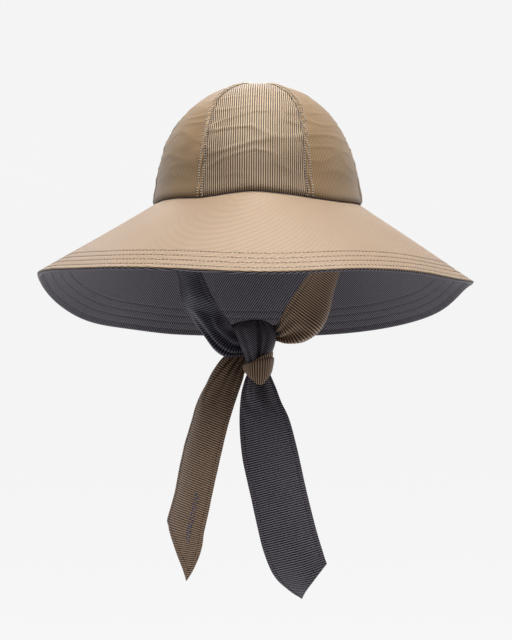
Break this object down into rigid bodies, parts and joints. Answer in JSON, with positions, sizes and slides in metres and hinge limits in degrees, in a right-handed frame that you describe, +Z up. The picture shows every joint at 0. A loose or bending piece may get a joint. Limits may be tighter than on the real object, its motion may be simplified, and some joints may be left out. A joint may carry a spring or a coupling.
{
  "type": "reversible wide-brim sun hat with neck ties",
  "caption": "Wide-brim cloth sun hat with a domed panelled crown, a contrasting reversible inner hat, and two cloth ties knotted below the brim.",
  "frame": {"origin": "middle of the head opening, in the plane of the seam that joins crown and brim", "axes": "+Z up along the wearer's head, -Y to the front of the hat, +X to the wearer's left"},
  "size_m": [0.3596, 0.3585, 0.4289],
  "materials": {
    "tan_cloth": "fine ribbed cotton and silk weave with a soft sheen, tan",
    "grey_cloth": "fine ribbed cotton and silk weave with a soft sheen, dark grey",
    "stiffener": "matt bonded non-woven stiffener"
  },
  "bodies": {
    "hat": {"crown_panel_front": "tan_cloth", "crown_panel_right_front": "tan_cloth", "crown_panel_right_back": "tan_cloth", "crown_panel_back": "tan_cloth", "crown_panel_left_back": "tan_cloth", "crown_panel_left_front": "tan_cloth", "lining_panel_front": "grey_cloth", "lining_panel_right_front": "grey_cloth", "lining_panel_right_back": "grey_cloth", "lining_panel_back": "grey_cloth", "lining_panel_left_back": "grey_cloth", "lining_panel_left_front": "grey_cloth", "brim_outer": "tan_cloth", "brim_interfacing": "stiffener", "brim_lining": "grey_cloth", "grey_tie_anchor": "grey_cloth", "tan_tie_anchor": "tan_cloth"},
    "tie_loop": {"grey_tie_face": "grey_cloth", "grey_tie_backing": "tan_cloth", "tan_tie_face": "tan_cloth", "tan_tie_backing": "grey_cloth", "knot_fold": "grey_cloth", "knot_wrap": "tan_cloth", "knot_crossing": "tan_cloth"},
    "tan_tail": {"tan_tail_face": "tan_cloth", "tan_tail_backing": "grey_cloth"},
    "grey_tail": {"grey_tail_face": "grey_cloth", "grey_tail_backing": "tan_cloth"}
  },
  "joints": [
    {"name": "tie_loop_swing", "type": "hinge", "parent": "hat", "child": "tie_loop", "pos_m": [0, 0, 0], "axis": [1, 0, 0], "range_deg": [-40, 30]},
    {"name": "tan_tail_swing", "type": "hinge", "parent": "tie_loop", "child": "tan_tail", "pos_m": [-0.02023, 0.01005, -0.12477], "axis": [1, 0, 0], "range_deg": [-45, 45]},
    {"name": "grey_tail_swing", "type": "hinge", "parent": "tie_loop", "child": "grey_tail", "pos_m": [0.0008, 0, -0.15161], "axis": [1, 0, 0], "range_deg": [-45, 45]}
  ]
}
